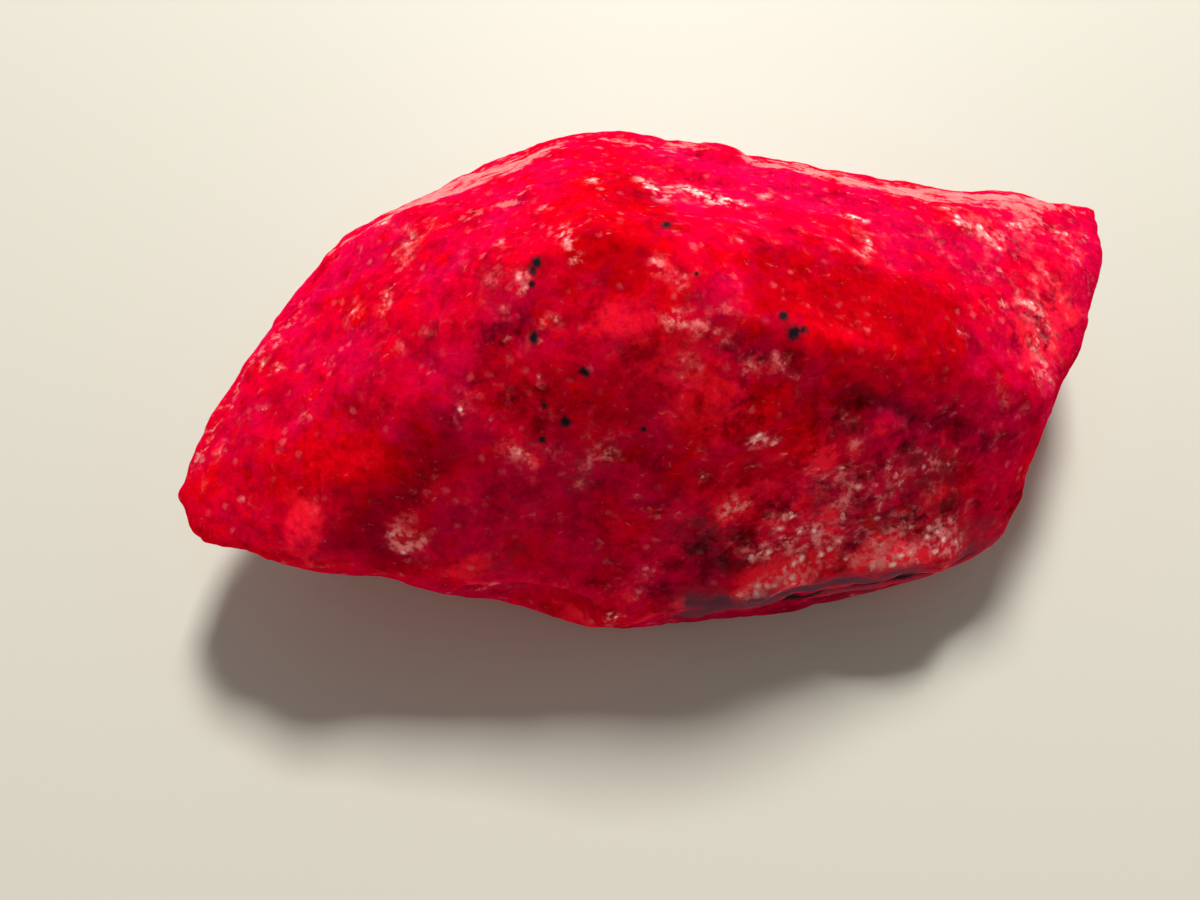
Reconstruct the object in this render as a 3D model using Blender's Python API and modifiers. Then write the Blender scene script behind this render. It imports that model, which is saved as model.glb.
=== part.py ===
"""Raw ruby: one lump broken from massive ruby, lying on its flattest break.

World coordinates in metres, +Z up. The stone lies lengthways along X, its crest runs
across the top, and its darker, rougher side faces -Y. The origin is on the surface it
rests on, below the middle of its box.
"""

import math

import bmesh
import bpy
import numpy as np
from mathutils import Matrix, Vector

NODE = "ruby_crystal"
COLLECTION = "raw_ruby"
CUTTERS = "chips"
MM = 0.001  # corners, chips and grain are stated in millimetres

# Corners of the breaks, each (x, y, z). The stone's flat breaks run between them.
CREST = [
    (-29.5, -15, 18.5), (-23.5, -11.5, 23), (-18, -6, 28), (-11.5, 0, 32.5), (-6, 1.5, 34.3),
    (-2, 0, 34.5), (2, -6.5, 31.7), (8, -10.7, 26.8), (9.7, -5.7, 31), (16.6, -5.7, 28.2),
    (21, -3.6, 26.8), (25, 1, 25.3), (30, -2, 21.9),
]
NOSE = [(-5, -6, 31.6), (-2.5, -12, 26.3)]
REAR_SHOULDER = [
    (-40.5, -3, 16), (-33.3, 5, 19), (-27.7, 10.5, 21.3), (-20.5, 12, 24.3), (-15, 12.7, 26.4),
    (-9.5, 14.2, 27.5), (9, 17, 23.5), (23, 15.3, 21.8), (36.3, 15.8, 18.8),
]
REAR_EDGE = [
    (-42.4, -4.9, 13.5), (-36.3, 7.4, 14.5), (-31.2, 14.2, 16), (-27.3, 16.3, 17),
    (-22, 20, 17.5), (-17, 22.2, 18.6), (-11.3, 22, 21.5), (-4.9, 21.7, 22.5),
    (4, 22, 20), (44.8, 18.1, 15),
]
REAR_WALL = [(-30, 14.5, 9), (-12, 22.5, 10), (12, 22.8, 8), (37, 18.5, 6)]
RIGHT_END = [
    (44, 12.7, 16.2), (39.7, 3.2, 17), (33.8, -5.6, 19.5), (34.2, -11.6, 9.2),
    (32, -14.9, 7.8), (29.5, -16.5, 7.5), (43.5, 17, 7), (43, 8, 6.5),
]
FRONT_EDGE = [
    (-5, -23, 6.5), (-9.6, -21.7, 8), (-23, -19.6, 11), (-30.2, -19.8, 14.5),
    (-34.4, -18.9, 15.6), (-39.7, -17.6, 14.6),
]
LEFT_TIP = [(-45.1, -13.3, 13.7), (-43.8, -15.7, 13.3)]
FOOT_DROP = 2.0  # the foot's corners lie this far below the cut that makes the flat base
FOOT = [
    (-32, -6), (-22, -15), (-2, -20.5), (13, -19.8), (26.5, -16), (34, -9.5), (37.5, 4),
    (32, 15), (6, 19.5), (-19, 12),
]

# Swellings and chips, each (centre, radii, turn about Z in degrees).
SWELLINGS = {
    "rear_nodule": ((5.4, 17.6, 21.2), (4.4, 4.0, 2.6), -8),
    "front_lip": ((13.8, -17.7, 0.6), (6.6, 2.2, 1.9), 8),
}
CHIPS = {
    "rear_notch": ((0.9, 24.6, 23.6), (2.2, 4.0, 4.0), 0),
    "rear_hollow": ((23.5, 25.3, 20.2), (19.0, 6.0, 6.0), -6),
    "below_nodule": ((4.6, 13.4, 29.4), (7.5, 2.8, 3.6), -14),
    "front_left_bay": ((-14.0, -24.2, 8.5), (9.0, 5.0, 6.0), 8),
    "right_bay": ((38.0, -9.6, 12.0), (4.0, 6.0, 6.0), 0),
    "crest_hollow": ((6.0, -10.5, 34.2), (7.0, 5.5, 5.0), -20),
    "wall_crack": ((18.5, -19.4, 3.4), (7.0, 2.2, 0.7), 12),
    "rear_chip_left": ((-24.0, 23.8, 7.0), (11.0, 7.0, 8.0), 28),
    "rear_chip_right": ((25.0, 27.2, 7.5), (13.0, 7.5, 7.0), -8),
    "underside_chip": ((-38.0, -13.0, 3.0), (9.0, 9.0, 6.5), 0),
}

# The break's grain needs an even net of small faces that keeps the sharp edges between breaks.
NET_DEPTH = 6
NET_SCALE = 0.82
SHORTEST_EDGE = 0.1
EDGE_WEAR = 0.35  # how far one smoothing pass takes the sharp edges down
# Grain of the break, as (wavelength or facet size, depth).
SWELL = (21.0, 0.22)
RIPPLE = (8.5, 0.2)
FACET = (5.5, 0.38)
FACET_BLEND = 14.0  # how sharply one facet gives way to the next
SPINE_REACH = 24.0  # the facets push outwards from a spine this long each side of the middle
SPINE_HEIGHT = 12.0

RUBY_RED = (0.62, 0.004, 0.025, 1)
RUBY_ROUGHNESS = 0.38


def new_collection(name, hidden=False):
    collection = bpy.data.collections.new(name)
    bpy.context.scene.collection.children.link(collection)
    collection.hide_render = hidden
    return collection


def new_object(name, bm, collection):
    mesh = bpy.data.meshes.new(name)
    bm.to_mesh(mesh)
    bm.free()
    thing = bpy.data.objects.new(name, mesh)
    collection.objects.link(thing)
    return thing


def corners():
    """Every corner of the unchipped lump, in millimetres."""
    foot = [(x, y, -FOOT_DROP) for x, y in FOOT]
    rear = REAR_SHOULDER + REAR_EDGE + REAR_WALL
    return CREST + NOSE + rear + RIGHT_END + FRONT_EDGE + LEFT_TIP + foot


def broken_lump(collection):
    """The lump before it was chipped: the flat breaks that close round its corners."""
    bm = bmesh.new()
    points = [bm.verts.new(Vector(corner) * MM) for corner in corners()]
    hull = bmesh.ops.convex_hull(bm, input=points)
    unused = set(hull["geom_interior"] + hull["geom_unused"])
    bmesh.ops.delete(bm, geom=[v for v in bm.verts if v in unused], context="VERTS")
    bmesh.ops.recalc_face_normals(bm, faces=bm.faces)
    return new_object(NODE, bm, collection)


def ball(name, centre, radii, turn, collection):
    """An ellipsoid, for a swelling or a chip."""
    bm = bmesh.new()
    bmesh.ops.create_icosphere(bm, subdivisions=4, radius=1.0)
    size = Matrix.Diagonal((*radii, 1)) * MM
    size[3][3] = 1
    place = Matrix.Translation(Vector(centre) * MM) @ Matrix.Rotation(math.radians(turn), 4, "Z")
    bmesh.ops.transform(bm, matrix=place @ size, verts=bm.verts)
    return new_object(name, bm, collection)


def add_boolean(stone, other, operation):
    modifier = stone.modifiers.new(other.name, "BOOLEAN")
    modifier.operation = operation
    modifier.solver = "EXACT"
    modifier.object = other
    other.display_type = "WIRE"


def shape(stone, collection):
    """Joins the swellings to the lump and cuts the chips from it."""
    for operation, forms in (("UNION", SWELLINGS), ("DIFFERENCE", CHIPS)):
        for name, form in forms.items():
            add_boolean(stone, ball(name, *form, collection), operation)


def add_net(stone):
    """Lays an even net of faces over the stone and keeps its sharp edges."""
    modifier = stone.modifiers.new("net", "REMESH")
    modifier.mode = "SHARP"
    modifier.octree_depth = NET_DEPTH
    modifier.scale = NET_SCALE
    modifier.use_remove_disconnected = True


def apply_modifiers(stone):
    graph = bpy.context.evaluated_depsgraph_get()
    made = bpy.data.meshes.new_from_object(stone.evaluated_get(graph))
    stone.modifiers.clear()
    stone.data = made
    made.name = NODE


def waves(points, wavelength, seed):
    """A smooth vector at each point: the sum of a dozen sine waves, each on its own heading."""
    rng = np.random.default_rng(seed)
    heading = rng.normal(size=(12, 3))
    heading /= np.linalg.norm(heading, axis=1, keepdims=True)
    pitch = 2 * math.pi / (wavelength * rng.uniform(0.7, 1.4, 12))
    phase = rng.uniform(0, 2 * math.pi, 12)
    push = rng.normal(size=(12, 3)) / math.sqrt(12)
    return np.sin(points @ heading.T * pitch + phase) @ push


def cell_random(cells, salt):
    """Three numbers from 0 to 1 for each cell of a lattice, always the same for the same cell."""
    mixed = cells @ np.array([[127.1, 269.5, 113.5], [311.7, 183.3, 271.9], [74.7, 246.1, 124.6]])
    return np.mod(np.sin(mixed + salt) * 43758.5453, 1.0)


def facets(points, size, salt):
    """Height of a hackly break: each lattice cell tilts its own way, and they blend at their edges."""
    scaled = points / size
    base = np.floor(scaled)
    total = np.zeros(len(points))
    weight = np.zeros(len(points))
    for step in np.ndindex(3, 3, 3):
        cell = base + np.array(step) - 1
        away = scaled - (cell + cell_random(cell, salt))
        share = np.exp(-FACET_BLEND * np.linalg.norm(away, axis=1))
        tilt = 2 * cell_random(cell, salt + 5) - 1
        total += share * (away * tilt).sum(axis=1)
        weight += share
    return total / weight


def from_spine(points):
    """The way out from the stone's long middle, at each point."""
    spine = np.zeros_like(points)
    spine[:, 0] = np.clip(points[:, 0], -SPINE_REACH, SPINE_REACH)
    spine[:, 2] = SPINE_HEIGHT
    out = points - spine
    return out / np.linalg.norm(out, axis=1, keepdims=True)


def roughen(bm):
    """Bends the flat breaks slightly and gives them their hackly facets."""
    points = np.array([v.co for v in bm.verts]) / MM
    out = from_spine(points)
    moved = points + SWELL[1] * waves(points, SWELL[0], 3) + RIPPLE[1] * waves(points, RIPPLE[0], 4)
    moved += FACET[1] * facets(points, FACET[0], 1.0)[:, None] * out
    for vert, place in zip(bm.verts, moved * MM):
        vert.co = place


def cut_flat_base(bm):
    """Takes off what is below the surface the stone rests on, and closes it flat."""
    geom = bm.verts[:] + bm.edges[:] + bm.faces[:]
    floor = {"plane_co": (0, 0, 0), "plane_no": (0, 0, -1)}
    cut = bmesh.ops.bisect_plane(bm, geom=geom, clear_outer=True, **floor)
    rim = [item for item in cut["geom_cut"] if isinstance(item, bmesh.types.BMEdge)]
    bmesh.ops.contextual_create(bm, geom=rim)
    bmesh.ops.triangulate(bm, faces=bm.faces)


def finish_mesh(stone):
    bm = bmesh.new()
    bm.from_mesh(stone.data)
    bmesh.ops.triangulate(bm, faces=bm.faces)
    bmesh.ops.remove_doubles(bm, verts=bm.verts, dist=SHORTEST_EDGE * MM)
    every_way = {"use_axis_x": True, "use_axis_y": True, "use_axis_z": True}
    bmesh.ops.smooth_vert(bm, verts=bm.verts, factor=EDGE_WEAR, **every_way)
    roughen(bm)
    cut_flat_base(bm)
    bm.to_mesh(stone.data)
    bm.free()


def ruby_material():
    material = bpy.data.materials.new("ruby")
    material.use_nodes = True
    shader = material.node_tree.nodes["Principled BSDF"]
    shader.inputs["Base Color"].default_value = RUBY_RED
    shader.inputs["Roughness"].default_value = RUBY_ROUGHNESS
    shader.inputs["Metallic"].default_value = 0.0
    material.diffuse_color = RUBY_RED
    return material


def remove_all_objects():
    for thing in list(bpy.data.objects):
        bpy.data.objects.remove(thing, do_unlink=True)


def main():
    remove_all_objects()
    stone = broken_lump(new_collection(COLLECTION))
    shape(stone, new_collection(CUTTERS, hidden=True))
    add_net(stone)
    apply_modifiers(stone)
    finish_mesh(stone)
    stone.data.materials.clear()
    stone.data.materials.append(ruby_material())


main()
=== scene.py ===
import itertools
import math

import bpy
import numpy as np
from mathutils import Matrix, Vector


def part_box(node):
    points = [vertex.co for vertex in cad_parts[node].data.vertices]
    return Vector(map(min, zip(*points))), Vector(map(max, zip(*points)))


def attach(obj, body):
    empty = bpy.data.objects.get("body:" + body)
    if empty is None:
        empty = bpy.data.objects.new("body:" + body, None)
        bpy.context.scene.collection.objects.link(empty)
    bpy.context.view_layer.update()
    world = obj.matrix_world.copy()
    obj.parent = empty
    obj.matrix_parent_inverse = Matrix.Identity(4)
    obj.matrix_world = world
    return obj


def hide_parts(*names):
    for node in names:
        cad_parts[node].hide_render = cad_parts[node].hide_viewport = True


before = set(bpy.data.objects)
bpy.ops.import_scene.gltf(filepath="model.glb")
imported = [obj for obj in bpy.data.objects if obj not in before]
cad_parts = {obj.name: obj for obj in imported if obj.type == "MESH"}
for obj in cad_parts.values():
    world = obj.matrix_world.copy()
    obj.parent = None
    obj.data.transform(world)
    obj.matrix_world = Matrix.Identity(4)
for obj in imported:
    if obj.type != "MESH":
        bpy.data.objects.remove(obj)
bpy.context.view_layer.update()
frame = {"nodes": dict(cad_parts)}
print("frame loaded:", ", ".join(frame["nodes"]))

mm = 0.001  # every length below is in millimetres

# The rough lump: corners where its breaks meet, then what is added to it and chipped off it.
stone = {
    "node": "ruby_crystal",
    "breaks": (
        "crest", "nose", "rearShoulder", "rearEdge", "rearWall", "rightEnd", "frontEdge", "leftTip", "foot",
    ),
    "crest": [
        (-29.5, -15, 18.5), (-23.5, -11.5, 23), (-18, -6, 28), (-11.5, 0, 32.5), (-6, 1.5, 34.3),
        (-2, 0, 34.5), (2, -6.5, 31.7), (8, -10.7, 26.8), (9.7, -5.7, 31), (16.6, -5.7, 28.2),
        (21, -3.6, 26.8), (25, 1, 25.3), (30, -2, 21.9),
    ],
    "nose": [(-5, -6, 31.6), (-2.5, -12, 26.3)],
    "rearShoulder": [
        (-40.5, -3, 16), (-33.3, 5, 19), (-27.7, 10.5, 21.3), (-20.5, 12, 24.3), (-15, 12.7, 26.4),
        (-9.5, 14.2, 27.5), (9, 17, 23.5), (23, 15.3, 21.8), (36.3, 15.8, 18.8),
    ],
    "rearEdge": [
        (-42.4, -4.9, 13.5), (-36.5, 7.6, 14.7), (-31.5, 14.6, 16.2), (-27.3, 16.3, 17),
        (-22, 20, 17.5), (-17, 22.2, 18.6), (-11.3, 22, 21.5), (-4.9, 21.7, 22.5),
        (4, 22, 20), (13, 20.6, 20.6), (22, 19.6, 19.4), (31, 18.7, 18), (44.8, 18.1, 15),
    ],
    "rearWall": [(-30, 14.5, 9), (-12, 22.5, 10), (12, 22.8, 8), (37, 18.5, 6)],
    "rightEnd": [
        (44, 12.7, 16.2), (39.7, 3.2, 17), (33.8, -5.6, 19.5), (34.2, -11.6, 9.2),
        (32, -14.9, 7.8), (29.5, -16.5, 7.5), (43.5, 17, 7), (43, 8, 6.5),
    ],
    "frontEdge": [
        (-5, -23, 6.5), (-9.6, -21.7, 8), (-23, -19.6, 11), (-30.2, -19.8, 14.5),
        (-34.6, -19.2, 15.3), (-40.0, -18.0, 14.2),
    ],
    "leftTip": [(-44.5, -13.4, 13.7), (-43.1, -15.7, 13.4)],
    "foot": [
        (-32, -6, -2), (-22, -15, -2), (-2, -20.5, -2), (12, -19.3, -2), (25.5, -15.2, -2),
        (34, -9.5, -2), (37.5, 4, -2), (32, 15, -2), (6, 19.5, -2), (-19, 12, -2),
    ],
    # each (centre, radii, turn about Z in degrees)
    "swellings": [
        ((5.4, 17.5, 21.0), (4.2, 4.0, 2.5), -8),  # nodule behind the crest
        ((12.0, -17.9, 0.4), (5.5, 1.9, 1.8), 8),  # lip at the foot of the front wall
    ],
    "chips": [
        ((0.9, 24.6, 23.6), (2.2, 4.0, 4.0), 0),  # notch beside the nodule
        ((23.5, 25.3, 20.2), (19.0, 5.2, 5.4), -6),  # long hollow in the rear edge
        ((4.6, 13.4, 29.4), (7.5, 2.8, 3.6), -14),  # step below the nodule
        ((-14.0, -24.2, 8.5), (9.0, 5.0, 6.0), 8),  # bay in the front edge
        ((38.0, -9.6, 12.0), (4.0, 6.0, 6.0), 0),  # bay in the right end
        ((6.0, -10.5, 34.2), (7.0, 5.5, 5.0), -20),  # hollow between crest and lobe
        ((18.5, -19.4, 3.4), (7.0, 2.2, 0.7), 12),  # open crack in the front wall
        ((-24.0, 23.8, 7.0), (11.0, 7.0, 8.0), 28),  # two chips in the rear wall
        ((25.0, 27.2, 7.5), (13.0, 7.5, 7.0), -8),
        ((-38.0, -14.0, 4.5), (8.0, 8.0, 4.2), 0),  # chip under the left end
    ],
    "cells": (264, 136, 70),  # grid cells along X, Y and Z
    "boxSize": (84, 40, 34),  # the box the grid starts on
    "taper": (0.45, 0.4),  # how narrow it is at its foot, and the share of its height that narrows
    "spineReach": 24.0,  # the line inside the stone that the rays start from
    "spineHeight": 12.0,
    "spineSpread": 0.8,  # how closely their starts follow the box along X
    "edgeSharpness": 9.0,  # per mm, lower wears the edges rounder
    "bends": [(21.0, 0.22, 3), (8.5, 0.2, 4)],  # wavelength, depth, seed
    "facets": (5.5, 0.38, 1.0),  # size, depth, seed
    "grain": [(2.6, 0.17, 21.0), (1.15, 0.075, 33.0)],  # the same for hackle and for fine grain
    "facetBlend": 14.0,  # higher makes the borders between facets crisper
    "reliefDrift": (0.5, 4.0, 44),  # how far its lines wander, the wavelength and the seed
    # raised and sunken lines, each (points of a line laid on the stone, width, height)
    "relief": [
        # ledge on the front wall, boss above the bay
        (
            [(8, -19.9, 8.8), (12.6, -18.8, 9.1), (16.3, -18, 9.8), (19.8, -17.7, 10.2), (25, -17, 9.9)],
            1.7, 1.3,
        ),
        ([(-18.7, -19.3, 13.3)], 2.6, 0.6),
        # grooves: under the lobe, a fissure on the left face, the seam in the front wall
        ([(14.3, -8.2, 26.2), (17.1, -8.3, 24.8), (21.5, -8.6, 22.3), (25.5, -8.6, 20)], 0.9, -0.5),
        ([(-18.1, -1.7, 28.8), (-19.7, -4.1, 27.8), (-21.4, -6.1, 26.4)], 0.5, -0.25),
        ([(12, -19.9, 5.2), (17.7, -19, 6), (20.3, -18.7, 7), (28, -17, 7.4)], 0.6, -0.7),
        # steps behind the crest
        ([(-0.4, 8.5, 29.3), (1.9, 10.1, 28.1), (6, 8.8, 27.9)], 0.8, 0.3),
        ([(-20.1, 9, 25.7), (-16.4, 8.5, 27.1), (-12.8, 9.3, 28.4)], 1.0, 0.4),
    ],
}


# Whole-number grid over two parameters, and its quads: corner (a, b) sits at a * (up + 1) + b.
def gridSide(across, up):
    a, b = np.meshgrid(np.arange(across + 1), np.arange(up + 1), indexing="ij")
    first = (np.arange(across)[:, None] * (up + 1) + np.arange(up)).ravel()
    return a.ravel(), b.ravel(), np.stack([first, first + up + 1, first + up + 2, first + 1], axis=1)


# Five grids make a box open below; equal whole-number points are one point, so its sides are joined.
def openBox(cells):
    nx, ny, nz = cells
    points, quads, start = [], [], 0
    for axis, level, turned in ((2, nz, False), (1, 0, False), (1, ny, True), (0, 0, True), (0, nx, False)):
        a, b, side = gridSide(*[n for i, n in enumerate(cells) if i != axis])
        points.append(np.insert(np.stack([a, b], axis=1), axis, level, axis=1))
        quads.append((side[:, ::-1] if turned else side) + start)
        start += len(a)
    points, index = np.unique(np.concatenate(points), axis=0, return_inverse=True)
    return points, index.reshape(-1)[np.concatenate(quads)]


# The planes round the corners: each passes through three of them and has all the others behind it.
def breakPlanes(corners):
    i, j, k = np.array(list(itertools.combinations(range(len(corners)), 3))).T
    normal = np.cross(corners[j] - corners[i], corners[k] - corners[i])
    size = np.linalg.norm(normal, axis=1)
    i, normal = i[size > 1e-6], (normal / np.maximum(size, 1e-9)[:, None])[size > 1e-6]
    offset = (normal * corners[i]).sum(axis=1)
    side = corners @ normal.T - offset
    outer, inner = side.max(axis=0) < 1e-6, side.min(axis=0) > -1e-6
    planes = np.c_[normal, offset]
    return np.unique(np.concatenate([planes[outer], -planes[inner]]).round(6), axis=0)


# The lesser of two lengths, rounded where they are close: -log(exp(-s a) + exp(-s b)) / s.
def softLeast(first, second, sharpness):
    return -np.logaddexp(-sharpness * first, -sharpness * second) / sharpness


# Along each ray, the least length (offset - normal . start) / (normal . way) of the planes it faces.
def reachToPlanes(start, way, planes, sharpness):
    reach = np.full(len(start), 1e3)
    for plane in planes:
        facing = way @ plane[:3]
        length = (plane[3] - start @ plane[:3]) / np.where(facing > 1e-6, facing, 1)
        reach = softLeast(reach, np.where(facing > 1e-6, length, 1e3), sharpness)
    return reach


# Where each ray enters and leaves an ellipsoid: the two roots t of |(start + t way) / radii| = 1.
def ballCrossing(start, way, form):
    centre, radii, turn = form
    cos, sin = math.cos(math.radians(turn)), math.sin(math.radians(turn))
    toBall = np.array([[cos, -sin, 0], [sin, cos, 0], [0, 0, 1]]) / np.array(radii)
    offset, along = (start - centre) @ toBall, way @ toBall
    a, b, c = (along**2).sum(axis=1), (offset * along).sum(axis=1), (offset**2).sum(axis=1) - 1
    meets = (b * b > a * c) & (b < 0)
    root = np.sqrt(np.maximum(b * b - a * c, 0))
    return np.where(meets, (-b - root) / a, 1e3), np.where(meets, (-b + root) / a, 0)


# A smooth vector field: a dozen sine waves, each with its own heading, length, phase and push.
def waves(points, wavelength, seed):
    rng = np.random.default_rng(seed)
    heading = rng.normal(size=(12, 3))
    heading /= np.linalg.norm(heading, axis=1, keepdims=True)
    pitch = 2 * math.pi / (wavelength * rng.uniform(0.7, 1.4, 12))
    phase = rng.uniform(0, 2 * math.pi, 12)
    push = rng.normal(size=(12, 3)) / math.sqrt(12)
    return np.sin(points @ heading.T * pitch + phase) @ push


# Three numbers from 0 to 1 for each lattice cell: the fraction left of a large sine.
def cellRandom(cells, seed):
    stirredUp = cells @ np.array([[127.1, 269.5, 113.5], [311.7, 183.3, 271.9], [74.7, 246.1, 124.6]])
    return np.mod(np.sin(stirredUp + seed) * 43758.5453, 1.0)


# Height of a broken surface: the tilts of the lattice cells around, shared by exp(-blend distance).
def facets(points, size, seed):
    scaled = points / size
    total, weight = np.zeros(len(points)), np.zeros(len(points))
    for step in np.ndindex(3, 3, 3):
        cell = np.floor(scaled) + np.array(step) - 1
        away = scaled - (cell + cellRandom(cell, seed))
        share = np.exp(-stone["facetBlend"] * np.linalg.norm(away, axis=1))
        total += share * (away * (2 * cellRandom(cell, seed + 5) - 1)).sum(axis=1)
        weight += share
    return total / weight


# The unit way out from the stone's long middle: the point less the nearest point of the spine.
def fromSpine(points):
    spine = np.zeros_like(points)
    spine[:, 0] = np.clip(points[:, 0], -stone["spineReach"], stone["spineReach"])
    spine[:, 2] = stone["spineHeight"]
    out = points - spine
    return out / np.linalg.norm(out, axis=1, keepdims=True)


# Outward unit at each point: the crossed diagonals of the quads around it, added up.
def netNormals(points, quads):
    corner = points[quads]
    crossed = np.cross(corner[:, 2] - corner[:, 0], corner[:, 3] - corner[:, 1])
    total = np.zeros_like(points)
    for axis in range(3):
        total[:, axis] = np.bincount(quads.ravel(), np.repeat(crossed[:, axis], 4), len(points))
    return total / np.maximum(np.linalg.norm(total, axis=1, keepdims=True), 1e-12)


# From 0 to 1 between two values, eased at both ends: 3 t^2 - 2 t^3.
def smoothStep(value, low, high):
    t = np.clip((value - low) / (high - low), 0, 1)
    return t * t * (3 - 2 * t)


# Rays from the spine through the box's grid: the least reach to the breaks, or more where a swelling
# goes further, or less where a chip begins.
def brokenLump(net):
    share = net / np.array(stone["cells"])
    onBox = (share - (0.5, 0.5, 0)) * stone["boxSize"]
    narrow, narrowed = stone["taper"]
    onBox[:, :2] *= smoothStep(share[:, 2], 0, narrowed)[:, None] * (1 - narrow) + narrow
    start = np.zeros_like(onBox)
    start[:, 0] = np.clip(onBox[:, 0] * stone["spineSpread"], -stone["spineReach"], stone["spineReach"])
    start[:, 2] = stone["spineHeight"]
    way = onBox - start
    way /= np.linalg.norm(way, axis=1, keepdims=True)
    corners = np.array(sum((stone[part] for part in stone["breaks"]), []), float)
    sharpness = stone["edgeSharpness"]
    reach = reachToPlanes(start, way, breakPlanes(corners), sharpness)
    for form in stone["swellings"]:
        reach = -softLeast(-reach, -ballCrossing(start, way, form)[1], sharpness)
    for form in stone["chips"]:
        reach = softLeast(reach, ballCrossing(start, way, form)[0], sharpness)
    return start + way * reach[:, None]


# Each place moved to the point of a surface that is nearest to it.
def onStone(surface, places):
    return np.array([surface[np.argmin(((surface - place) ** 2).sum(axis=1))] for place in places])


# How far each point is from a line through some places: the least distance to its straight pieces.
def lineDistance(points, places):
    least = np.full(len(points), np.inf)
    for start, end in zip(places, places[1:] if len(places) > 1 else places):
        along = end - start
        share = np.clip((points - start) @ along / max(along @ along, 1e-9), 0, 1)
        least = np.minimum(least, np.linalg.norm(points - start - share[:, None] * along, axis=1))
    return least


# Strength of one kind of mark: the most of strength * exp(-(distance to its line / width)^power).
def markStrength(points, marks, surface, power):
    strength = np.zeros(len(points))
    for line, width, most in marks:
        distance = lineDistance(points, onStone(surface, line))
        strength = np.maximum(strength, most * np.exp(-((distance / width) ** power)))
    return strength


# The lump bent by waves and broken outwards into facets, then raised along its normals by the grain
# and by height * exp(-(distance to the line / width)^2) at each line of the relief.
def roughened(flat, quads):
    points = flat.copy()
    for length, depth, seed in stone["bends"]:
        points += depth * waves(flat, length, seed)
    size, depth, seed = stone["facets"]
    points += depth * facets(flat, size, seed)[:, None] * fromSpine(flat)
    height = np.zeros(len(flat))
    for size, depth, seed in stone["grain"]:
        height += depth * facets(flat, size, seed)
    drift, length, seed = stone["reliefDrift"]
    drifted = flat + drift * waves(flat, length, seed)
    for line, width, raised in stone["relief"]:
        height += raised * np.exp(-((lineDistance(drifted, onStone(flat, line)) / width) ** 2))
    points += netNormals(points, quads) * height[:, None]
    points[:, 2] = np.maximum(points[:, 2], 0)  # the break it lies on is flat
    low, high = (np.array(corner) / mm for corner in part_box(stone["node"]))
    return np.clip(points, low, high)


# One object from whole arrays: the quads, and one flat face that closes the open rim below.
def meshPiece(name, points, quads):
    ends = np.concatenate([quads[:, [i, (i + 1) % 4]] for i in range(4)])
    _, index, count = np.unique(np.sort(ends, axis=1), axis=0, return_inverse=True, return_counts=True)
    rim = ends[count[index.reshape(-1)] == 1]
    following = dict(zip(rim[:, 1].tolist(), rim[:, 0].tolist()))
    loop = [int(rim[0, 0])]
    while following[loop[-1]] != loop[0]:
        loop.append(following[loop[-1]])
    mesh = bpy.data.meshes.new(name)
    mesh.vertices.add(len(points))
    mesh.vertices.foreach_set("co", (points * mm).ravel())
    mesh.loops.add(quads.size + len(loop))
    mesh.loops.foreach_set("vertex_index", np.r_[quads.ravel(), loop])
    mesh.polygons.add(len(quads) + 1)
    mesh.polygons.foreach_set("loop_start", np.r_[np.arange(0, quads.size, 4), quads.size])
    mesh.polygons.foreach_set("use_smooth", np.r_[np.ones(len(quads), bool), False])
    mesh.update(calc_edges=True)
    piece = bpy.data.objects.new(name, mesh)
    bpy.context.scene.collection.objects.link(piece)
    return piece


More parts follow.
